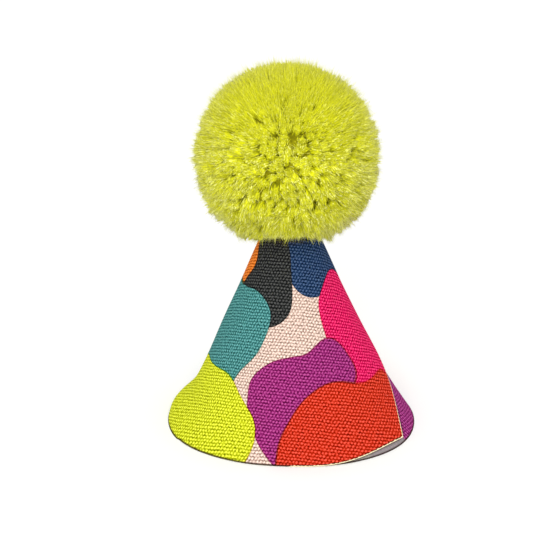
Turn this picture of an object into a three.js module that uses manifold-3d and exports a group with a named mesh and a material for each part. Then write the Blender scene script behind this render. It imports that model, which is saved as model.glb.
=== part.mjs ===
// Party hat: a small cone rolled from stiff printed canvas, its cut edge lapping over itself at
// the front right, with a yarn pompom round the tip. Millimetres, +Z up, the front facing -Y,
// standing on its rim at z = 0.
import * as THREE from 'three';
import { mergeVertices } from 'three/addons/utils/BufferGeometryUtils.js';
import Module from 'manifold-3d';

const wasm = await Module();
wasm.setup();

// Cone: the straight part, before its foot spreads
const clothThickness = 1.1;
const coneFootRadius = 44.5;
const coneApexHeight = 107.8; // where the straight sides would meet
const coneTipHeight = 100; // the rolled cloth is closed above this
const tipCapHeight = 1.4;
const coneColumns = 80;
const coneRows = 12;
const rowCrowding = 1.5; // over 1 puts more rows near the rim, where the folds are

// The foot spreads in three soft folds: the middle's angle round the cone from +X towards +Y and
// half its width in degrees, how far it stands out at the rim, and how fast it dies out upwards.
const folds = [
  { name: 'left', around: 182, halfWidth: 68, out: 5.6, reach: 10 },
  { name: 'rightUnderLap', around: -13, halfWidth: 49, out: 7.4, reach: 27 },
  { name: 'back', around: 84, halfWidth: 38, out: 3.0, reach: 14 },
];

// Lap: the outer layer ends at a cut edge that swings from the front right up round the back
const lapSpan = 60; // degrees over which the outer layer rises off the cone
const lapRise = 1.0; // its outer face over the cone at the cut edge
const lapBite = 0.3; // how far its inner face lies inside the cone where the two are one
const lapColumns = 16;
const lapRows = 12;
const cutEdge = { middleAngle: 1, swing: 49, middleHeight: 27.5, reach: 37.5 };
// The lap's lower corner curls away from the cone and up off the floor
const curl = { out: 1.7, across: 24, reach: 12 };
const hem = { clearance: 0.3, rise: 3.3, away: 8, halfWidth: 22 };

// Pompom
const pompomRadius = 37; // over the ends of the yarn
const pompomCentre = new THREE.Vector3(-0.9, 0, 112.5);
const headRadius = 31;
const headDetail = 3;
const lockCount = 96;
const lockSides = 5;
const lockRadius = 5.9;
const lockUneven = 0.8; // how much longer or shorter a lock is than the mean
const socketGap = 0.3; // between the pompom and the cone inside it

const canvasPrint = new THREE.MeshStandardMaterial({ color: 0xe8452c, roughness: 0.88, metalness: 0 });
const yarn = new THREE.MeshStandardMaterial({ color: 0xd6dc2e, roughness: 0.95, metalness: 0 });

const radians = THREE.MathUtils.degToRad;
const eased = (share) => THREE.MathUtils.smoothstep(share, 0, 1);

function foldSpread(angle, height) {
  let out = 0;
  for (const fold of folds) {
    const turn = angle - radians(fold.around);
    const away = Math.atan2(Math.sin(turn), Math.cos(turn)) / radians(fold.halfWidth);
    out += fold.out * Math.exp(-(away ** 2) - height / fold.reach);
  }
  return out;
}

const straightRadius = (height) => coneFootRadius * (1 - height / coneApexHeight);

// The point at an angle and height that lies a given way out from the cone's outer face
function onCone(angle, height, out) {
  const radius = straightRadius(height) + foldSpread(angle, height) + out;
  return new THREE.Vector3(radius * Math.cos(angle), radius * Math.sin(angle), height);
}

// A closed mesh's triangles over shared vertices, without the flat ones that a pole leaves
function shared(geometry) {
  const bare = geometry.clone();
  bare.deleteAttribute('normal');
  bare.deleteAttribute('uv');
  const merged = mergeVertices(bare, 1e-5);
  const corners = [];
  for (let i = 0; i < merged.index.count; i += 3) {
    const [a, b, c] = merged.index.array.slice(i, i + 3);
    if (a !== b && b !== c && c !== a) corners.push(a, b, c);
  }
  merged.setIndex(corners);
  return merged;
}

function solid(geometry) {
  const { attributes, index } = shared(geometry);
  return new wasm.Manifold(
    new wasm.Mesh({
      numProp: 3,
      vertProperties: new Float32Array(attributes.position.array),
      triVerts: new Uint32Array(index.array),
    }),
  );
}

function geometryOf(manifold) {
  const mesh = manifold.getMesh();
  const geometry = new THREE.BufferGeometry();
  geometry.setAttribute('position', new THREE.BufferAttribute(mesh.vertProperties, 3));
  geometry.setIndex(new THREE.BufferAttribute(mesh.triVerts, 1));
  geometry.computeVertexNormals();
  return geometry;
}

// Moves every vertex of a geometry to where place() puts it
function moved(geometry, place) {
  const position = geometry.attributes.position;
  const point = new THREE.Vector3();
  for (let i = 0; i < position.count; i += 1) {
    point.fromBufferAttribute(position, i);
    const to = place(point);
    position.setXYZ(i, to.x, to.y, to.z);
  }
  return geometry;
}

const wallAcross = clothThickness * Math.hypot(1, coneFootRadius / coneApexHeight);
const rowHeight = (row) => coneTipHeight * (row / coneRows) ** rowCrowding;

// A profile of radii and heights turned round the axis, then spread by the folds
function turnedOnCone(profile) {
  const outline = profile.map(({ radius, height }) => new THREE.Vector2(radius, height));
  const turned = new THREE.LatheGeometry(outline, coneColumns);
  turned.rotateX(Math.PI / 2);
  return moved(turned, (p) => {
    const radius = Math.hypot(p.x, p.y);
    if (radius < 1e-4) return new THREE.Vector3(0, 0, p.z);
    const angle = Math.atan2(p.y, p.x);
    const grown = radius + foldSpread(angle, p.z);
    return new THREE.Vector3(grown * Math.cos(angle), grown * Math.sin(angle), p.z);
  });
}

function coneShell() {
  const heights = Array.from({ length: coneRows + 1 }, (_, row) => rowHeight(row));
  const outer = heights.map((height) => ({ radius: straightRadius(height), height }));
  const hollowTop = coneTipHeight - clothThickness;
  const inner = heights
    .filter((height) => height < hollowTop - clothThickness)
    .map((height) => ({ radius: straightRadius(height) - wallAcross, height }))
    .reverse();
  return solid(
    turnedOnCone([
      { radius: 0, height: hollowTop },
      ...inner,
      ...outer,
      { radius: 0, height: coneTipHeight + tipCapHeight },
    ]),
  );
}

const cutEdgeAngle = (height) =>
  radians(
    cutEdge.middleAngle +
      cutEdge.swing * Math.tanh((height - cutEdge.middleHeight) / cutEdge.reach),
  );

function lap() {
  const block = new THREE.BoxGeometry(1, 1, 1, lapColumns, 1, lapRows);
  block.translate(0.5, 0.5, 0.5);
  // x runs from the cut edge across the lap, y through the cloth and z up
  return solid(
    moved(block, ({ x: across, y: through, z: up }) => {
      const away = across * lapSpan;
      const foot = hem.clearance + hem.rise * Math.exp(-(((away - hem.away) / hem.halfWidth) ** 2));
      const height = THREE.MathUtils.lerp(foot, coneTipHeight - 2, up ** rowCrowding);
      const curled = curl.out * Math.exp(-away / curl.across - height / curl.reach);
      const outerFace = THREE.MathUtils.lerp(lapRise, -lapBite / 2, eased(across)) + curled;
      const innerFace = THREE.MathUtils.lerp(-lapBite, -2 * lapBite, across) + curled;
      const angle = cutEdgeAngle(height) - radians(away);
      return onCone(angle, height, THREE.MathUtils.lerp(innerFace, outerFace, through));
    }),
  );
}

// The cone's own outer form grown by the gap, which the pompom is hollowed by
function socketPlug() {
  const low = pompomCentre.z - pompomRadius - 6;
  const out = lapRise + socketGap;
  const heights = [low, (low + coneTipHeight) / 2, coneTipHeight];
  return solid(
    turnedOnCone([
      { radius: 0, height: low },
      ...heights.map((height) => ({ radius: straightRadius(height) + out, height })),
      { radius: 0, height: coneTipHeight + tipCapHeight + socketGap + 0.4 },
    ]),
  );
}

// One lock of yarn ends, standing on the head along +Z, from inside the head to its blunt end
function lock(length) {
  const foot = headRadius - lockRadius;
  const outline = [
    [0, foot],
    [lockRadius * 0.7, foot],
    [lockRadius, length - lockRadius * 0.75],
    [lockRadius * 0.62, length - lockRadius * 0.14],
    [0, length],
  ];
  const turned = new THREE.LatheGeometry(
    outline.map(([radius, height]) => new THREE.Vector2(radius, height)),
    lockSides,
  );
  return turned.rotateX(Math.PI / 2);
}

function pompomBody() {
  let body = solid(new THREE.IcosahedronGeometry(headRadius, headDetail));
  const goldenTurn = Math.PI * (3 - Math.sqrt(5));
  for (let i = 0; i < lockCount; i += 1) {
    const rise = 1 - (2 * i + 1) / lockCount;
    const flat = Math.sqrt(1 - rise ** 2);
    const turn = i * goldenTurn;
    const outward = new THREE.Vector3(flat * Math.cos(turn), flat * Math.sin(turn), rise);
    const length = pompomRadius + lockUneven * (Math.sin(i * 2.4) - 1) * 0.5;
    const one = lock(length);
    one.rotateZ(turn);
    one.applyQuaternion(new THREE.Quaternion().setFromUnitVectors(new THREE.Vector3(0, 0, 1), outward));
    body = body.add(solid(one));
  }
  body = body.translate([pompomCentre.x, pompomCentre.y, pompomCentre.z]);
  return body.subtract(socketPlug());
}

function namedMesh(name, body, material) {
  const mesh = new THREE.Mesh(geometryOf(body), material);
  mesh.name = name;
  return mesh;
}

const hat = new THREE.Group();
hat.name = 'party_hat';
hat.add(namedMesh('cone', coneShell().add(lap()), canvasPrint));
hat.add(namedMesh('pompom', pompomBody(), yarn));

// The origin is the middle of the hat as seen from above, on the surface that it stands on
const bounds = new THREE.Box3().setFromObject(hat);
const middle = bounds.getCenter(new THREE.Vector3());
hat.position.set(-middle.x, -middle.y, -bounds.min.z);

export default hat;
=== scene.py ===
"""A small party hat on a pale studio floor: a cone rolled from one piece of stiff printed
canvas, its cut edge lapping over itself at the front right, with a big yarn pompom on its tip."""

import math

import bpy
import numpy as np
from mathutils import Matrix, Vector


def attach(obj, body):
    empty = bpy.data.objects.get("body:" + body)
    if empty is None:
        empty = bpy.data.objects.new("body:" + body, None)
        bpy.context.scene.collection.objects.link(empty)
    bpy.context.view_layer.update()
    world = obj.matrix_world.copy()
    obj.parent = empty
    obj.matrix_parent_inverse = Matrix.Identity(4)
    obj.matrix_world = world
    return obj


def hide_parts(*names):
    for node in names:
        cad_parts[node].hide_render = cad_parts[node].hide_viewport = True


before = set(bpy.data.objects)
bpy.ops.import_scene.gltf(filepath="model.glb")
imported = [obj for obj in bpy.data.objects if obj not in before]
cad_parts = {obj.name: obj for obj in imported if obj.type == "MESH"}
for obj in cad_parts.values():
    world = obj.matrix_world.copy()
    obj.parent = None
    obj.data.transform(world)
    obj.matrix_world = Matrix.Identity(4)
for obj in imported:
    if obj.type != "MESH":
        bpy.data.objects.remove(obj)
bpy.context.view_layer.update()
MM = 0.001

# The cone in millimetres, measured from its own axis: its straight sides, and the folds that
# spread its foot. Each is given by its place round the cone in degrees, how wide and how far out
# it is, and the height where it is fullest. A fall of 1 lets it run out upwards from there, and
# one of 2 rounds it off above and below.
FOOT_RADIUS = 44.5
APEX_HEIGHT = 107.8
TIP_HEIGHT = 100.0
HOLLOW = 0.9  # how far the sides draw in halfway up
FOLDS = (
    {"around": 207, "half_width": 38, "out": 5.4, "height": 0, "reach": 8, "fall": 1},
    {"around": -22, "half_width": 49, "out": 8.4, "height": 0, "reach": 27, "fall": 1},
    {"around": 84, "half_width": 38, "out": 3.0, "height": 0, "reach": 14, "fall": 1},
    {"around": 176, "half_width": 30, "out": 3.3, "height": 4, "reach": 5, "fall": 2},
)
# The cloth: how thick, how far round it is rolled in degrees, and how its layers lie
CLOTH = 1.0
LAYER = 1.1
LAP = 60.0
ROLLED = 360.0 + LAP
CUT_EDGE = {"middle_angle": -1.5, "swing": 49.0, "middle_height": 27.5, "reach": 37.5}
CURL = {"out": 1.0, "across": 24.0, "reach": 12.0}
HEM = {"clearance": 0.3, "rise": 2.7, "away": 8.0, "half_width": 22.0}
# Slow waves that keep the cloth from lying quite true: how many go round, and the height over
# which they turn by a radian
SLACK = (
    {"out": 0.16, "waves": 5, "climb": 9},
    {"out": 0.12, "waves": 9, "climb": -6},
)
FLAT_LEAN = math.atan2(FOOT_RADIUS, APEX_HEIGHT)  # half the cone's angle
FRONT = math.radians(-90)
CLOTH_GRID = {"across": 330, "up": 80, "crowded_below": 1.3}
SOFT_EDGE = 0.2  # how far in the cut edges are softened
CLEAR_OF_FLOOR = 0.02
# Where round the roll, in degrees from the lap's corner, the lap's hem shows raw threads, and
# where the inner layer's hem begins
RAW_HEM = {"until": 55, "fades": 40}
INNER_HEM = {"from": 361, "fades": 14}
FAR = 9.0  # what isn't near an edge is given as this far from it
SLANTWISE = 0.35  # the dark under the lap reaches further beside its cut edge than below its hem

# The pompom in millimetres, measured over its yarn ends
POMPOM_RADIUS = 37.0
POMPOM_OFF_AXIS = -0.9
POMPOM_HEIGHT = 111.5
HEART_RADIUS = 29.3
# Where the cone's front pushes the yarns up: how high they begin there and how much shorter they
# are, and how many degrees this place lies before straight down and reaches, in full and at most
SEAT = {"height": 82.8, "short": 5.5, "forward": 22, "full": 15, "most": 28}
# Its yarns lean and end unevenly, alone and in tufts, less so on top, where it is brushed smooth
YARNS = {"count": 1350, "scatter": 0.3, "lean": 0.09, "uneven": 0.34}
TUFTS = {"count": 420, "scatter": 0.22, "pull": 0.11, "uneven": 0.2}
COMBED = ({"lean": 0.12, "waves": 7.0}, {"lean": 0.08, "waves": 14.0})
TOP = {"ruffled": 0.12, "rise": 0.7, "fades": 0.5}
# Each yarn begins under the surface and has a core inside. Its strands spread from root to end,
# wider on top, and the outer ones end lower, which rounds it off.
YARN_ROOTS = 24.0
CORE = {"half": (1.35, 1.75), "short": 2.2, "pale": 0.5}
BUNDLE = {"root": 1.1, "end": 1.6, "brushed_out": 0.7, "domed": 1.6, "domed_on_top": 0.3}
# What lies round a core: where along the yarn it begins, its half thickness, how far it passes
# the yarn's end and strays from it, and how pale it is from 0 to 1
STRANDS = {
    "count": 42,
    "begins": 0.0,
    "half": (0.2, 0.31),
    "passes": (-1.8, -0.4),
    "strays": 0.26,
    "pale": (0.0, 1.0),
}
LOOSE_FIBRES = {
    "count": 36,
    "begins": 0.45,
    "half": (0.11, 0.18),
    "passes": (-1.5, 1.6),
    "strays": 0.7,
    "pale": (0.5, 1.0),
}
YARN_CLEARANCE = 0.4


def solid_points(node):
    """The vertices of a CAD node, in millimetres."""
    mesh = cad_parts[node].data
    points = np.empty(len(mesh.vertices) * 3)
    mesh.vertices.foreach_get("co", points)
    return points.reshape(-1, 3) / MM


cone_points = solid_points("cone")
AXIS = cone_points[cone_points[:, 2].argmax()] * [1, 1, 0]  # the cone ends on its axis
POMPOM_CENTRE = AXIS + [POMPOM_OFF_AXIS, 0, POMPOM_HEIGHT]


# The cloth


def fold_spread(angle, height):
    """How far the foot's folds push the cloth out."""
    out = 0
    for fold in FOLDS:
        turn = angle - math.radians(fold["around"])
        away = np.arctan2(np.sin(turn), np.cos(turn)) / math.radians(fold["half_width"])
        fall = ((height - fold["height"]) / fold["reach"]) ** fold["fall"]
        out = out + fold["out"] * np.exp(-(away**2) - fall)
    return out


def cone_radius(angle, height):
    """From the cone's axis to the outer face of its cloth where that is a single layer."""
    share = np.clip(height / APEX_HEIGHT, 0, 1)
    straight = FOOT_RADIUS * (1 - share) - HOLLOW * 4 * share * (1 - share)
    return straight + fold_spread(angle, height)


def eased(share):
    """A share that starts and ends gently, held between 0 and 1."""
    share = np.clip(share, 0, 1)
    return share * share * (3 - 2 * share)


def cut_edge_angle(height):
    """Where round the cone the lap's cut edge lies: it swings round as it rises, fastest at its
    middle height."""
    swing = np.tanh((height - CUT_EDGE["middle_height"]) / CUT_EDGE["reach"])
    return np.radians(CUT_EDGE["middle_angle"] + CUT_EDGE["swing"] * swing)


def rolled_place(across, up):
    """Where the cloth's outer face lies, for shares across the roll from its cut edge and up
    from its hem: the angle round the cone, the height and the way out from the cone."""
    away = across * ROLLED
    lifted = np.exp(-(((away - HEM["away"]) / HEM["half_width"]) ** 2)) * (away < 2 * LAP)
    foot = (HEM["clearance"] + HEM["rise"] * lifted) * (away < 2 * LAP)
    height = foot + (TIP_HEIGHT - foot) * up ** CLOTH_GRID["crowded_below"]
    outer_layer = 1 - eased(away / LAP)
    inner_layer = eased((away - 360) / LAP)
    curled = CURL["out"] * np.exp(-away / CURL["across"] - height / CURL["reach"])
    angle = cut_edge_angle(height) - np.radians(away)
    slack = sum(
        wave["out"] * np.sin(wave["waves"] * angle + height / wave["climb"]) for wave in SLACK
    )
    return angle, height, LAYER * (outer_layer - inner_layer) + curled + slack


def flat_place(across, height):
    """The same point in the flat cloth: metres from the cone's apex, the front straight down."""
    slant = (APEX_HEIGHT - height) / math.cos(FLAT_LEAN)
    turned = (cut_edge_angle(height) - np.radians(across * ROLLED) - FRONT) * math.sin(FLAT_LEAN)
    return np.stack([slant * np.sin(turned), -slant * np.cos(turned)], axis=-1) * MM


def edge_distances(across, up):
    """Millimetres in the flat cloth from a point to the lap's raw edges, to the hem, to the hem
    of the inner layer alone, on that layer to where the lap covers it, and to the pompom."""
    height = rolled_place(across, up)[1]
    slant = (APEX_HEIGHT - height) / math.cos(FLAT_LEAN)
    away = across * ROLLED
    aside = np.radians(away) * math.sin(FLAT_LEAN) * slant
    hem = (height - rolled_place(across, np.zeros_like(up))[1]) / math.cos(FLAT_LEAN)
    raw_hem = hem + FAR * eased((away - RAW_HEM["until"]) / RAW_HEM["fades"])
    inner_hem = hem + FAR * eased((INNER_HEM["from"] - away) / INNER_HEM["fades"])
    beside_lap = np.radians(360 - away) * math.sin(FLAT_LEAN) * slant
    lap_hem = rolled_place(np.maximum(across - 360 / ROLLED, 0), np.zeros_like(up))[1]
    below_lap = (lap_hem - height) / math.cos(FLAT_LEAN)
    beside_lap = np.hypot(SLANTWISE * beside_lap, np.maximum(below_lap, 0))
    from_lap = np.where(away < 360, beside_lap, below_lap)
    return {
        "from_cut": np.minimum(aside, raw_hem),
        "from_hem": hem,
        "from_inner_hem": inner_hem,
        "from_lap": from_lap + FAR * (away < 360 - LAP),
        "from_yarn": (SEAT["height"] - height) / math.cos(FLAT_LEAN),
    }


def alone(obj):
    """Makes obj the one that operators act on."""
    bpy.ops.object.select_all(action="DESELECT")
    obj.select_set(True)
    bpy.context.view_layer.objects.active = obj


def apply_all(obj):
    """Applies all the modifiers of obj, in their order."""
    alone(obj)
    for modifier in list(obj.modifiers):
        bpy.ops.object.modifier_apply(modifier=modifier.name)


def rolled_canvas(materials):
    """One flat piece of cloth, rolled into the cone and then given its thickness. Its materials
    are those of its outer face, its inner face and its edges."""
    bpy.ops.object.select_all(action="DESELECT")
    bpy.ops.mesh.primitive_grid_add(
        x_subdivisions=CLOTH_GRID["across"], y_subdivisions=CLOTH_GRID["up"], size=1
    )
    cloth = bpy.context.object
    cloth.name = cloth.data.name = "rolled_canvas"
    mesh = cloth.data
    for material in materials:
        mesh.materials.append(material)
    shares = np.empty(len(mesh.vertices) * 3)
    mesh.vertices.foreach_get("co", shares)
    across, up = shares.reshape(-1, 3)[:, 0] + 0.5, shares.reshape(-1, 3)[:, 1] + 0.5
    angle, height, out = rolled_place(across, up)
    radius = cone_radius(angle, height) + out
    points = np.stack([radius * np.cos(angle), radius * np.sin(angle), height], axis=1) + AXIS
    mesh.vertices.foreach_set("co", (points * MM).ravel())

    corner = np.empty(len(mesh.loops), dtype=int)
    mesh.loops.foreach_get("vertex_index", corner)
    mesh.uv_layers[0].name = "flat_cloth"
    flat = flat_place(across, height)
    mesh.uv_layers["flat_cloth"].data.foreach_set("uv", flat[corner].ravel())
    for title, distances in edge_distances(across, up).items():
        mesh.attributes.new(title, "FLOAT", "POINT").data.foreach_set("value", distances)
    mesh.update()

    # The grid's top side faces the axis once it is rolled this way, so it is turned out first
    alone(cloth)
    bpy.ops.object.mode_set(mode="EDIT")
    bpy.ops.mesh.select_all(action="SELECT")
    bpy.ops.mesh.normals_make_consistent(inside=False)
    bpy.ops.object.mode_set(mode="OBJECT")

    thick = cloth.modifiers.new("thickness", "SOLIDIFY")
    thick.thickness = CLOTH * MM
    thick.offset = -1
    thick.material_offset = 1
    thick.material_offset_rim = 2
    edges = cloth.modifiers.new("soft_cut_edges", "BEVEL")
    edges.width = SOFT_EDGE * MM
    edges.segments = 2
    edges.material = 0
    edges.limit_method = "ANGLE"
    edges.angle_limit = math.radians(50)
    apply_all(cloth)
    for vertex in mesh.vertices:
        vertex.co.z = max(vertex.co.z, CLEAR_OF_FLOOR * MM)
    bpy.ops.object.shade_smooth_by_angle(angle=math.radians(40))
    return cloth


# The pompom


def spread_directions(count, unevenness, dice):
    """Directions spread evenly over a ball, each nudged a little."""
    step = np.arange(count)
    rise = 1 - (2 * step + 1) / count
    turn = step * math.pi * (3 - math.sqrt(5))
    flat = np.sqrt(1 - rise**2)
    way = np.stack([flat * np.cos(turn), flat * np.sin(turn), rise], axis=1)
    way += dice.normal(0, unevenness * math.sqrt(4 * math.pi / count), way.shape)
    return way / np.linalg.norm(way, axis=1, keepdims=True)


def lengthened(sides, start, rings, tip):
    """A closed form about the Z axis, drawn up from a flat start, ring after ring, to a point.
    Each ring gives its rise from the one before it, and its taper."""
    bpy.ops.object.select_all(action="DESELECT")
    bpy.ops.mesh.primitive_circle_add(vertices=sides, radius=start, fill_type="NGON")
    form = bpy.context.object
    bpy.ops.object.mode_set(mode="EDIT")
    bpy.ops.mesh.select_all(action="SELECT")
    bpy.ops.mesh.flip_normals()
    for ring in rings:
        bpy.ops.mesh.extrude_region_move(TRANSFORM_OT_translate={"value": (0, 0, ring["rise"])})
        bpy.ops.transform.resize(value=(ring["taper"], ring["taper"], 1))
    bpy.ops.mesh.extrude_region_move(TRANSFORM_OT_translate={"value": (0, 0, tip)})
    bpy.ops.mesh.merge(type="CENTER")
    bpy.ops.object.mode_set(mode="OBJECT")
    return form


def strand_frames(axis):
    """Two directions across each strand."""
    helper = np.where(np.abs(axis[:, 2:]) < 0.9, [[0.0, 0.0, 1.0]], [[1.0, 0.0, 0.0]])
    side = np.cross(axis, helper)
    side /= np.linalg.norm(side, axis=1, keepdims=True)
    return side, np.cross(axis, side)


def about_cone(points):
    """The points measured from the middle of the cone's foot, how far they are from its axis,
    and how far they must be to lie clear of its cloth."""
    from_axis = points - AXIS
    angle = np.arctan2(from_axis[:, 1], from_axis[:, 0])
    radius = np.hypot(from_axis[:, 0], from_axis[:, 1])
    height = np.clip(from_axis[:, 2], 0, TIP_HEIGHT)
    return from_axis, radius, cone_radius(angle, height) + LAYER + YARN_CLEARANCE


def clear_of_cone(points):
    """Pushes points that would lie in the cone out to its cloth."""
    from_axis, radius, least = about_cone(points)
    short = (radius < least) & (from_axis[:, 2] < TIP_HEIGHT + 2)
    grow = np.where(short, least / np.maximum(radius, 0.5), 1)[:, None]
    return AXIS + from_axis * np.concatenate([grow, grow, np.ones_like(grow)], axis=1)


def in_cone(points):
    """Which points would lie in the cone."""
    from_axis, radius, least = about_cone(points)
    return (radius < least) & (from_axis[:, 2] < TIP_HEIGHT)


def combed(way, waves, dice):
    """Gentle leans that neighbouring yarns share, as fingers leave them."""
    pattern, start = dice.normal(0, waves, (8, 3)), dice.random(8) * 2 * math.pi
    return np.sin(way @ pattern.T + start) @ dice.normal(0, 1 / math.sqrt(8), (8, 3))


def laid_yarns(dice):
    """How the yarns lie: the way each leaves the pompom's middle, the way its end is drawn, how
    ruffled it is from 0 to 1, how far out it ends, and its tone."""
    spread = spread_directions(YARNS["count"], YARNS["scatter"], dice)
    tuft = spread_directions(TUFTS["count"], TUFTS["scatter"], dice)
    nearest = (spread @ tuft.T).argmax(axis=1)
    below_top = eased((TOP["rise"] - spread[:, 2]) / TOP["fades"])
    ruffled = TOP["ruffled"] + (1 - TOP["ruffled"]) * below_top
    drawn = spread + TUFTS["pull"] * ruffled[:, None] * (tuft[nearest] - spread)
    drawn /= np.linalg.norm(drawn, axis=1, keepdims=True)
    lean = sum(comb["lean"] * combed(drawn, comb["waves"], dice) for comb in COMBED)
    way = drawn - ruffled[:, None] * (lean + dice.normal(0, YARNS["lean"], drawn.shape))
    way /= np.linalg.norm(way, axis=1, keepdims=True)
    uneven = dice.normal(0, TUFTS["uneven"], TUFTS["count"])[nearest]
    uneven += dice.normal(0, YARNS["uneven"], YARNS["count"])
    length = POMPOM_RADIUS + ruffled * uneven
    forward = math.radians(SEAT["forward"])
    aside = np.degrees(np.arccos(drawn @ [0, -math.sin(forward), -math.cos(forward)]))
    length -= SEAT["short"] * eased((SEAT["most"] - aside) / (SEAT["most"] - SEAT["full"]))
    tone = 0.6 * dice.random(YARNS["count"]) + 0.4 * dice.random(TUFTS["count"])[nearest]
    return way, drawn, ruffled, length, tone


def outside_cone(root, end, *values):
    """The runs that come out of the pompom, without those whose ends the cone would cover."""
    keep = ~in_cone(root * 0.1 + end * 0.9)
    return [value[keep] for value in (root, end, *values)]


def yarn_runs():
    """Where the yarns' cores, their strands and their loose fibres run. Each kind is given as
    roots, ends, half thicknesses, and two numbers for its colour: its tone and how pale it is."""
    dice = np.random.default_rng(7)
    way, drawn, ruffled, length, tone = laid_yarns(dice)
    root = POMPOM_CENTRE + way * YARN_ROOTS
    end = POMPOM_CENTRE + drawn * (length - CORE["short"])[:, None]
    half = dice.uniform(*CORE["half"], YARNS["count"])
    runs = [outside_cone(root, end, half, tone, CORE["pale"] * dice.random(YARNS["count"]))]
    for kind in (STRANDS, LOOSE_FIBRES):
        yarn = np.repeat(np.arange(YARNS["count"]), kind["count"])
        total = len(yarn)
        place = np.sqrt(dice.random(total))
        turn = dice.random(total) * 2 * math.pi
        side, other = strand_frames(drawn[yarn])
        across = side * (place * np.cos(turn))[:, None] + other * (place * np.sin(turn))[:, None]
        brushed_out = (1 - ruffled[yarn])[:, None]
        widened = BUNDLE["end"] + BUNDLE["brushed_out"] * brushed_out
        on_top = BUNDLE["domed_on_top"]
        domed = BUNDLE["domed"] * (on_top + (1 - on_top) * ruffled[yarn]) * place**2
        reach = length[yarn] - domed + dice.uniform(*kind["passes"], total)
        root = POMPOM_CENTRE + way[yarn] * YARN_ROOTS + across * BUNDLE["root"]
        end = POMPOM_CENTRE + drawn[yarn] * reach[:, None] + across * widened
        end += dice.normal(0, kind["strays"], end.shape) * (1 + brushed_out)
        root += kind["begins"] * (end - root)
        half, pale = dice.uniform(*kind["half"], total), dice.uniform(*kind["pale"], total)
        runs.append(outside_cone(root, end, half, tone[yarn], pale))
    return runs


def along_runs(name, pattern, root, end, half, tone, pale):
    """Copies the modelled pattern along every run from root to end, as one mesh."""
    shape = np.empty(len(pattern.data.vertices) * 3)
    pattern.data.vertices.foreach_get("co", shape)
    shape = shape.reshape(-1, 3)
    faces = [list(face.vertices) for face in pattern.data.polygons]
    axis = end - root
    axis /= np.linalg.norm(axis, axis=1, keepdims=True)
    side, other = strand_frames(axis)
    along = shape[:, 2]
    points = root[:, None] + (end - root)[:, None] * along[None, :, None]
    points = points + side[:, None] * (shape[None, :, 0] * half[:, None])[..., None]
    points = points + other[:, None] * (shape[None, :, 1] * half[:, None])[..., None]
    points = clear_of_cone(points.reshape(-1, 3))

    mesh = bpy.data.meshes.new(name)
    count, corners = len(shape), sum(len(face) for face in faces)
    mesh.vertices.add(len(points))
    mesh.vertices.foreach_set("co", (points * MM).ravel())
    index = np.concatenate([np.array(face) for face in faces])
    starts = np.cumsum([0] + [len(face) for face in faces[:-1]])
    copies = np.arange(len(root))
    mesh.loops.add(corners * len(root))
    mesh.loops.foreach_set("vertex_index", (index[None] + copies[:, None] * count).ravel())
    mesh.polygons.add(len(faces) * len(root))
    mesh.polygons.foreach_set("loop_start", (starts[None] + copies[:, None] * corners).ravel())
    for title, values in (
        ("along", np.tile(along, len(root))),
        ("tone", np.repeat(tone, count)),
        ("pale", np.repeat(pale, count)),
    ):
        mesh.attributes.new(title, "FLOAT", "POINT").data.foreach_set("value", values)
    mesh.update(calc_edges=True)
    mesh.validate()
    obj = bpy.data.objects.new(name, mesh)
    bpy.context.scene.collection.objects.link(obj)
    alone(obj)
    bpy.ops.object.shade_smooth()
    return obj


def pompom_yarn():
    """The yarns, the fuzz, and the strands in meshes that share the ball out by their angle
    round it."""
    swell = {"rise": 0.62, "taper": 1.4}
    round_end = ({"rise": 0.25, "taper": 0.96}, {"rise": 0.09, "taper": 0.72})
    core = lengthened(sides=7, start=0.75, rings=(swell, *round_end), tip=0.04)
    strand = lengthened(sides=3, start=0.7, rings=({"rise": 0.94, "taper": 1.35},), tip=0.06)
    fibre = lengthened(sides=3, start=1.0, rings=(), tip=1.0)
    yarns, strands, fibres = yarn_runs()
    pieces = [along_runs("pompom_yarn_cores", core, *yarns)]
    pieces.append(along_runs("pompom_fuzz", fibre, *fibres))
    angle = np.degrees(np.arctan2(*(strands[1] - POMPOM_CENTRE)[:, 1::-1].T)) % 360
    for number, title in enumerate(("back_right", "back_left", "front_left", "front_right")):
        mine = (angle >= 90 * number) & (angle < 90 * (number + 1))
        parts = (values[mine] for values in strands)
        pieces.append(along_runs(f"pompom_yarn_{title}", strand, *parts))
    for pattern in (core, strand, fibre):
        bpy.data.objects.remove(pattern)
    return pieces


def pompom_heart():
    """The tied middle, which only darkens the gaps between the yarn ends."""
    bpy.ops.object.select_all(action="DESELECT")
    bpy.ops.mesh.primitive_ico_sphere_add(subdivisions=4, radius=HEART_RADIUS * MM)
    heart = bpy.context.object
    heart.name = heart.data.name = "pompom_heart"
    heart.location = POMPOM_CENTRE * MM
    alone(heart)
    bpy.ops.object.transform_apply(location=True)
    bpy.ops.object.shade_smooth()
    return heart


# Materials


def linear(text):
    """An sRGB hex colour as linear numbers with full alpha."""
    parts = [int(text[i : i + 2], 16) / 255 for i in (0, 2, 4)]
    return [c / 12.92 if c <= 0.04045 else ((c + 0.055) / 1.055) ** 2.4 for c in parts] + [1.0]


def add(tree, kind, inputs=(), output=0, **settings):
    """Adds a node with its settings, and gives back one of its outputs. The inputs are values,
    or output sockets to link, by name or number. By number, a MapRange has the value at 0, the
    range it comes from at 1 and 2 and the new range at 3 and 4, and a Mix of colours has its
    share at 0 and the colours at 6 and 7."""
    node = tree.nodes.new("ShaderNode" + kind)
    for name, value in settings.items():
        setattr(node, name, value)
    for name, value in dict(inputs).items():
        if isinstance(value, bpy.types.NodeSocket):
            tree.links.new(value, node.inputs[name])
        else:
            node.inputs[name].default_value = value
    return node.outputs[output]


def fresh_material(name):
    """A new material, its nodes and its shader."""
    material = bpy.data.materials.new(name)
    material.use_nodes = True
    tree = material.node_tree
    return material, tree, tree.nodes["Principled BSDF"]


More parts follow.
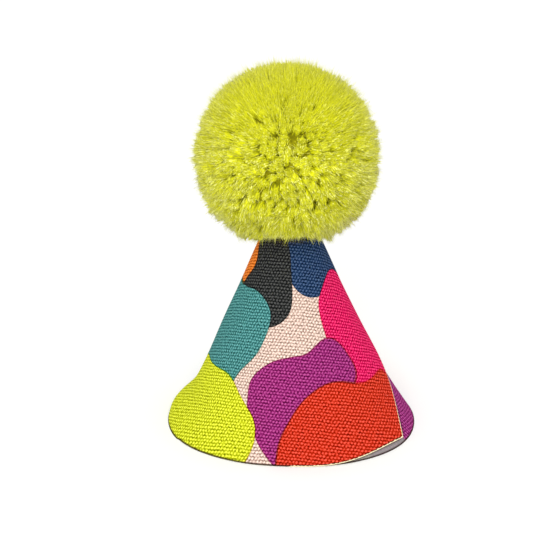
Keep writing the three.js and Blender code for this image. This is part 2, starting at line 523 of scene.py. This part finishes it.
# The weave in millimetres: from one weft thread to the next, and from one float of a thread over
# the thin warp to its next. Single fibres are too fine to show, so they are drawn coarser.
WEFT_PITCH = 1.2
FLOAT_PITCH = 1.3
FLOAT_LEAN = -0.4  # how far the twist of the yarn leans each float, in radians of the pattern
OFF_GRAIN = 5.0  # degrees by which the cloth was cut off its straight grain
THREAD_WANDER = {"per_metre": 160.0, "most": 0.9}
ROW_HEIGHT = 0.7  # how high the rows stand, where the floats on them stand 1
CANVAS_FIBRES = {"per_metre": 1300.0, "height": 5.0}


def plain_weave(tree):
    """The flat cloth's coordinates, and the height of its plain weave from 0 in the holes to 1
    on the weft's floats."""
    uv = add(tree, "UVMap", uv_map="flat_cloth")
    scale = THREAD_WANDER["per_metre"]
    wander = add(tree, "TexNoise", {"Vector": uv, "Scale": scale, "Detail": 3.0}, "Color")
    centred = add(tree, "VectorMath", {0: wander, 1: (0.5, 0.5, 0.5)}, operation="SUBTRACT")
    room = (THREAD_WANDER["most"] * MM, THREAD_WANDER["most"] * MM, 0)
    uneven = add(tree, "VectorMath", {0: centred, 1: room, 2: uv}, operation="MULTIPLY_ADD")
    to_grain = {
        "Vector": uneven,
        "Rotation": (0, 0, math.radians(OFF_GRAIN)),
        "Scale": (math.tau / (FLOAT_PITCH * MM), math.tau / (WEFT_PITCH * MM), 1),
    }
    on_grain = add(tree, "Mapping", to_grain)
    # Rows of weft, broken into floats that shift by half from one row to the next
    along = add(tree, "SeparateXYZ", {0: on_grain}, "X")
    across = add(tree, "SeparateXYZ", {0: on_grain}, "Y")
    rows = add(tree, "Math", {0: across}, operation="COSINE")
    aside = add(tree, "Math", {0: across}, operation="SINE")
    leaned = add(tree, "Math", {0: aside, 1: FLOAT_LEAN, 2: along}, operation="MULTIPLY_ADD")
    floats = add(tree, "Math", {0: leaned}, operation="COSINE")
    half = add(tree, "Math", {0: across, 1: 0.5}, operation="MULTIPLY")
    every_other = add(tree, "Math", {0: half}, operation="COSINE")
    floats = add(tree, "Math", {0: floats, 1: every_other}, operation="MULTIPLY")
    woven = add(tree, "Math", {0: rows, 1: ROW_HEIGHT, 2: floats}, operation="MULTIPLY_ADD")
    scale = CANVAS_FIBRES["per_metre"]
    fibres = add(tree, "TexNoise", {"Vector": uv, "Scale": scale, "Detail": 2.0})
    hairy = {0: fibres, 1: CANVAS_FIBRES["height"], 2: woven}
    rough = add(tree, "Math", hairy, operation="MULTIPLY_ADD")
    middle, swing = CANVAS_FIBRES["height"] / 2, 1 + ROW_HEIGHT
    return uv, add(tree, "MapRange", {0: rough, 1: middle - swing, 2: middle + swing})


# The print: free-form patches of flat colour, laid one over the other from the first row on.
# Each is an oval about its own place in the flat cloth: degrees from straight down the front,
# and millimetres from the cone's apex. Slow noise of this scale then bends all their outlines,
# and where two patches meet, their inks overlap by this share in a thin dark line.
BENDS = {"per_metre": 22.0, "most": 52}
OVERPRINT = 0.02
GROUND = "E9CDBE"
PATCHES = (
    {"turned": 30, "slant": 36, "wide": 18, "long": 27, "lean": 8, "colour": "20436E"},
    {"turned": -20, "slant": 40, "wide": 15, "long": 25, "lean": -8, "colour": "2C2E2E"},
    {"turned": -56, "slant": 38, "wide": 19, "long": 24, "lean": 20, "colour": "F58516"},
    {"turned": -96, "slant": 42, "wide": 22, "long": 27, "lean": -10, "colour": "EE0466"},
    {"turned": 27, "slant": 72, "wide": 22, "long": 24, "lean": -20, "colour": "EE0466"},
    {"turned": -34, "slant": 70, "wide": 21, "long": 26, "lean": 15, "colour": "4A9492"},
    {"turned": -68, "slant": 72, "wide": 23, "long": 24, "lean": -20, "colour": "DDE41A"},
    {"turned": -102, "slant": 78, "wide": 24, "long": 26, "lean": 25, "colour": "20436E"},
    {"turned": -1, "slant": 90, "wide": 26, "long": 22, "lean": 50, "colour": "A4247C"},
    {"turned": -52, "slant": 98, "wide": 26, "long": 22, "lean": 0, "colour": "20436E"},
    {"turned": -80, "slant": 106, "wide": 30, "long": 26, "lean": 10, "colour": "DA3007"},
    {"turned": -28, "slant": 110, "wide": 32, "long": 27, "lean": -10, "colour": "DDE41A"},
    {"turned": 13, "slant": 112, "wide": 37, "long": 26, "lean": 12, "colour": "DA3007"},
    {"turned": -106, "slant": 108, "wide": 25, "long": 36, "lean": 0, "colour": "A82C84"},
)

# What tones the cloth beside its edges: the grey foot of the inner layer, then the shade at the
# hem, under the lap and under the pompom. Each is full up to one distance in millimetres and has
# faded at another, and covers the print by a share.
SHADE = "2A1812"
EDGE_TONES = (
    {"from": "from_inner_hem", "full": 2.7, "faded": 3.8, "share": 0.8, "colour": "8C8F8A"},
    {"from": "from_hem", "full": 0.35, "faded": 0.85, "share": 0.92, "colour": SHADE},
    {"from": "from_lap", "full": 0.8, "faded": 1.7, "share": 0.72, "colour": SHADE},
    {"from": "from_yarn", "full": 1.4, "faded": 4.8, "share": 0.78, "colour": SHADE},
)


def printed_canvas():
    """Heavy cotton canvas, plain woven and printed with pigment: matt flat colours, broken up
    by pale thread crowns and dark holes, with shade painted into the holes and light onto the
    crowns."""
    material, tree, shader = fresh_material("printed_cotton_canvas")
    uv, height = plain_weave(tree)
    scale = BENDS["per_metre"]
    bends = add(tree, "TexNoise", {"Vector": uv, "Scale": scale, "Detail": 1.0}, "Color")
    centred = add(tree, "VectorMath", {0: bends, 1: (0.5, 0.5, 0.5)}, operation="SUBTRACT")
    room = (BENDS["most"] * MM, BENDS["most"] * MM, 0)
    drawn = add(tree, "VectorMath", {0: centred, 1: room, 2: uv}, operation="MULTIPLY_ADD")
    colour = linear(GROUND)
    for patch in PATCHES:
        turned = math.radians(patch["turned"])
        place = Vector((math.sin(turned), -math.cos(turned), 0)) * patch["slant"] * MM
        sizes = {
            "Vector": drawn,
            "Location": place,
            "Rotation": (0, 0, turned + math.radians(patch["lean"])),
            "Scale": (patch["wide"] * MM, patch["long"] * MM, 1),
        }
        oval = add(tree, "Mapping", sizes, vector_type="TEXTURE")
        outward = add(tree, "VectorMath", {0: oval}, "Value", operation="LENGTH")
        ink = linear(patch["colour"])
        for reach, blend in ((1.0, "MULTIPLY"), (1.0 - OVERPRINT, "MIX")):
            inside = add(tree, "Math", {0: outward, 1: reach}, operation="LESS_THAN")
            inked = {0: inside, 6: colour, 7: ink}
            colour = add(tree, "Mix", inked, 2, data_type="RGBA", blend_type=blend)
    # Painted shade and light in the weave: the ink is made deeper and darker in the holes, where
    # shade falls, and brighter on the floats; the crowns turn a little towards pale cotton,
    # partly pigment worn off there and partly a painted highlight.
    deep = add(tree, "MapRange", {0: height, 1: 0.0, 2: 0.6, 3: 0.7, 4: 0.0})
    deeper = {0: deep, 6: colour, 7: colour}
    colour = add(tree, "Mix", deeper, 2, data_type="RGBA", blend_type="MULTIPLY")
    weave_shade_and_light = add(tree, "MapRange", {0: height, 3: 0.18, 4: 1.22})
    colour = add(tree, "VectorMath", {0: colour, "Scale": weave_shade_and_light}, operation="SCALE")
    crown_wear_and_highlight = add(tree, "MapRange", {0: height, 1: 0.4, 2: 1.0, 3: 0.0, 4: 0.075})
    fibres = linear("ECE9E4")
    colour = add(tree, "Mix", {0: crown_wear_and_highlight, 6: colour, 7: fibres}, 2, data_type="RGBA")
    for edge in EDGE_TONES:
        distance = add(tree, "Attribute", output="Fac", attribute_name=edge["from"])
        limits = {1: edge["full"], 2: edge["faded"], 3: edge["share"], 4: 0.0}
        share = add(tree, "MapRange", {0: distance, **limits})
        toned = {0: share, 6: colour, 7: linear(edge["colour"])}
        colour = add(tree, "Mix", toned, 2, data_type="RGBA")
    # Pale threads that work loose along the cut edge, further out on the crowns of the weave
    from_cut = add(tree, "Attribute", output="Fac", attribute_name="from_cut")
    fray = add(tree, "Math", {0: height, 1: 0.28, 2: 0.16}, operation="MULTIPLY_ADD")
    worn = add(tree, "Math", {0: from_cut, 1: fray}, operation="LESS_THAN")
    cotton = linear("F0E2B8")
    colour = add(tree, "Mix", {0: worn, 6: colour, 7: cotton}, 2, data_type="RGBA")
    tree.links.new(colour, shader.inputs["Base Color"])
    relief = add(tree, "Bump", {"Strength": 1.0, "Distance": 0.25 * MM, "Height": height})
    tree.links.new(relief, shader.inputs["Normal"])
    shader.inputs["Roughness"].default_value = 0.92
    shader.inputs["Specular IOR Level"].default_value = 0.02
    return material


def bare_canvas(name, colour):
    """The same canvas undyed, for its unprinted reverse and the raw edge of a cut: matt and
    off-white, its threads set off by soft shade between them."""
    material, tree, shader = fresh_material(name)
    height = plain_weave(tree)[1]
    shade = add(tree, "MapRange", {0: height, 3: 0.55, 4: 1.05})
    cotton = linear(colour)[:3]
    colour = add(tree, "VectorMath", {0: cotton, "Scale": shade}, operation="SCALE")
    tree.links.new(colour, shader.inputs["Base Color"])
    relief = add(tree, "Bump", {"Strength": 0.9, "Distance": 0.2 * MM, "Height": height})
    tree.links.new(relief, shader.inputs["Normal"])
    shader.inputs["Roughness"].default_value = 0.9
    shader.inputs["Specular IOR Level"].default_value = 0.25
    return material


# The yarn's colour from near its root to its cut end, by the place along it from 0 to 1, with
# light and shade painted in: brighter deep down against the shade between the yarns, and darker
# at the brightly lit cut ends.
YARN_COLOURS = {0.45: "F2F20E", 0.8: "E3E30E", 1.0: "C7C718"}
# How fine the patterns on the pompom are: the locks its hairs gather in, to one radius of the
# ball, and deep in it the fibres and the yarns' ends, to the metre
LOCKS_PER_RADIUS = 48.0
DEEP_FIBRES_PER_METRE = 900.0
DEEP_ENDS_PER_METRE = 400.0


def brushed_yarn():
    """Acrylic knitting yarn cut to length and brushed out: soft and matt, pure in colour down its
    sides, with painted light and shade: brighter deep down, duller at its cut ends, and single
    pale hairs as painted highlights."""
    material, tree, shader = fresh_material("chartreuse_acrylic_yarn")
    along = add(tree, "Attribute", output="Fac", attribute_name="along")
    tone = add(tree, "Attribute", output="Fac", attribute_name="tone")
    paleness = add(tree, "Attribute", output="Fac", attribute_name="pale")
    colour = add(tree, "ValToRGB", {0: along})
    ramp = colour.node.color_ramp.elements
    ramp.remove(ramp[1])
    for number, (share, dye) in enumerate(YARN_COLOURS.items()):
        stop = ramp.new(share) if number else ramp[0]
        stop.position, stop.color = share, linear(dye)
    # The way out from the pompom's middle, and how much less ruffled its brushed top is
    place = add(tree, "TexCoord", output="Object")
    centre = tuple(POMPOM_CENTRE * MM)
    outward = add(tree, "VectorMath", {0: place, 1: centre}, operation="SUBTRACT")
    outward = add(tree, "VectorMath", {0: outward}, operation="NORMALIZE")
    rise = add(tree, "SeparateXYZ", {0: outward}, "Z")
    ruffled = add(tree, "MapRange", {0: rise, 1: 0.2, 2: 0.8, 3: 1.0, 4: 0.25})
    # Painted highlights: the palest hairs are mixed towards pale yellow, fewer on the brushed top
    pale = add(tree, "MapRange", {0: paleness, 1: 0.72, 2: 1.0, 3: 0.0, 4: 0.8})
    pale = add(tree, "Math", {0: pale, 1: ruffled}, operation="MULTIPLY")
    colour = add(tree, "Mix", {0: pale, 6: colour, 7: linear("FCFCA8")}, 2, data_type="RGBA")
    # Light and dark from lock to lock, yarn to yarn and hair to hair. It is strongest down the
    # sides of the yarns, where each hair shows its length.
    scale = LOCKS_PER_RADIUS
    hairs = add(tree, "TexNoise", {"Vector": outward, "Scale": scale, "Detail": 3.0})
    hairs = add(tree, "MapRange", {0: hairs, 1: 0.34, 2: 0.66, 3: 0.79, 4: 1.22})
    for uneven, least, most in ((tone, 0.86, 1.14), (paleness, 0.8, 1.22)):
        value = add(tree, "MapRange", {0: uneven, 3: least, 4: most})
        hairs = add(tree, "Math", {0: hairs, 1: value}, operation="MULTIPLY")
    contrast = add(tree, "MapRange", {0: along, 1: 0.72, 2: 0.98, 3: 3.2, 4: 0.45})
    contrast = add(tree, "Math", {0: contrast, 1: ruffled}, operation="MULTIPLY")
    hairs = add(tree, "Math", {0: hairs, 1: contrast}, operation="POWER")
    hairs = add(tree, "Math", {0: hairs, 1: 1.3}, operation="MINIMUM")
    colour = add(tree, "VectorMath", {0: colour, "Scale": hairs}, operation="SCALE")
    # The underside is a little deeper, where the ball shades itself
    below = add(tree, "MapRange", {0: rise, 1: -0.95, 2: -0.3, 3: 0.72, 4: 1.01})
    colour = add(tree, "VectorMath", {0: colour, "Scale": below}, operation="SCALE")
    tree.links.new(colour, shader.inputs["Base Color"])
    # Hair this fine scatters light between its fibres, so the ball partly takes it as one form
    facing = add(tree, "NewGeometry", output="Normal")
    facing = add(tree, "Mix", {0: 0.3, 4: facing, 5: outward}, 1, data_type="VECTOR")
    facing = add(tree, "VectorMath", {0: facing}, operation="NORMALIZE")
    tree.links.new(facing, shader.inputs["Normal"])
    shader.inputs["Roughness"].default_value = 0.65
    shader.inputs["Specular IOR Level"].default_value = 0.2
    shader.inputs["Sheen Weight"].default_value = 0.7
    shader.inputs["Sheen Roughness"].default_value = 0.4
    shader.inputs["Sheen Tint"].default_value = linear("FEFED0")
    return material


def shaded_yarn():
    """The same yarn deep in the pompom: shaded round ends, with dark gaps between them."""
    material, tree, shader = fresh_material("chartreuse_yarn_in_shade")
    place = add(tree, "TexCoord", output="Object")
    scale = DEEP_FIBRES_PER_METRE
    fibres = add(tree, "TexNoise", {"Vector": place, "Scale": scale, "Detail": 3.0})
    fibres = add(tree, "MapRange", {0: fibres, 1: 0.3, 2: 0.7, 3: 0.7, 4: 1.2})
    scale = DEEP_ENDS_PER_METRE
    ends = add(tree, "TexVoronoi", {"Vector": place, "Scale": scale}, "Distance")
    ends = add(tree, "MapRange", {0: ends, 1: 0.15, 2: 0.65, 3: 1.15, 4: 0.55})
    shade = add(tree, "Math", {0: fibres, 1: ends}, operation="MULTIPLY")
    yarn = linear("CCC61C")[:3]
    colour = add(tree, "VectorMath", {0: yarn, "Scale": shade}, operation="SCALE")
    tree.links.new(colour, shader.inputs["Base Color"])
    shader.inputs["Roughness"].default_value = 0.9
    shader.inputs["Specular IOR Level"].default_value = 0.1
    return material


def seamless_paper():
    """Uncoated white studio paper off the roll: smooth and matt, a plain ground that takes
    only a faint shadow."""
    material, _, shader = fresh_material("white_seamless_paper")
    shader.inputs["Base Color"].default_value = linear("EEEEED")
    shader.inputs["Roughness"].default_value = 0.95
    shader.inputs["Specular IOR Level"].default_value = 0.2
    return material


# The hat put together

reverse = bare_canvas("undyed_canvas_reverse", "E9E2D2")
raw_edge = bare_canvas("raw_canvas_edge", "E8E3C8")
cloth = rolled_canvas((printed_canvas(), reverse, raw_edge))
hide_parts("cone")
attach(cloth, "root")

yarn = brushed_yarn()
pompom_pieces = pompom_yarn()
for piece in pompom_pieces:
    piece.data.materials.append(yarn)
heart = pompom_heart()
heart.data.materials.append(shaded_yarn())
for piece in (*pompom_pieces, heart):
    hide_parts("pompom")
    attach(piece, "root")

# The studio: white paper in an even white light, with one large soft lamp from the front left

bpy.ops.object.select_all(action="DESELECT")
bpy.ops.mesh.primitive_plane_add(size=8.0, location=(0, 0, 0))
floor = bpy.context.object
floor.name = "floor"
floor.data.materials.append(seamless_paper())

VIEW_ASIDE = -3.56  # what the camera looks at, in millimetres from the cone's axis and foot
VIEW_HEIGHT = 59.6
AIM = Vector((AXIS[0] + VIEW_ASIDE, AXIS[1], VIEW_HEIGHT)) * MM
ELEVATION = math.radians(23)
DISTANCE = 0.65
FILM = 36
PHOTO_PIXELS = 560
PIXEL = 0.4 * MM  # what one pixel of the photograph covers on the hat

bpy.ops.object.light_add(type="AREA", location=(-0.1, -1.6, 1.0))
key = bpy.context.object
key.name = "key"
key.data.shape = "DISK"
key.data.size = 1.2
key.data.energy = 18.0
key.rotation_euler = (AIM - key.location).to_track_quat("-Z", "Y").to_euler()

world = bpy.data.worlds.new("studio")
bpy.context.scene.world = world
world.use_nodes = True
world.node_tree.nodes["Background"].inputs["Color"].default_value = (1, 1, 1, 1)
world.node_tree.nodes["Background"].inputs["Strength"].default_value = 1.12
bpy.context.scene.view_settings.view_transform = "Standard"

bpy.ops.object.camera_add(
    location=AIM + DISTANCE * Vector((0, -math.cos(ELEVATION), math.sin(ELEVATION)))
)
camera = bpy.context.object
camera.rotation_euler = (math.radians(90) - ELEVATION, 0, 0)
camera.data.sensor_width = FILM
camera.data.lens = FILM * DISTANCE / (PHOTO_PIXELS * PIXEL)
camera.data.clip_start = 0.01
bpy.context.scene.camera = camera
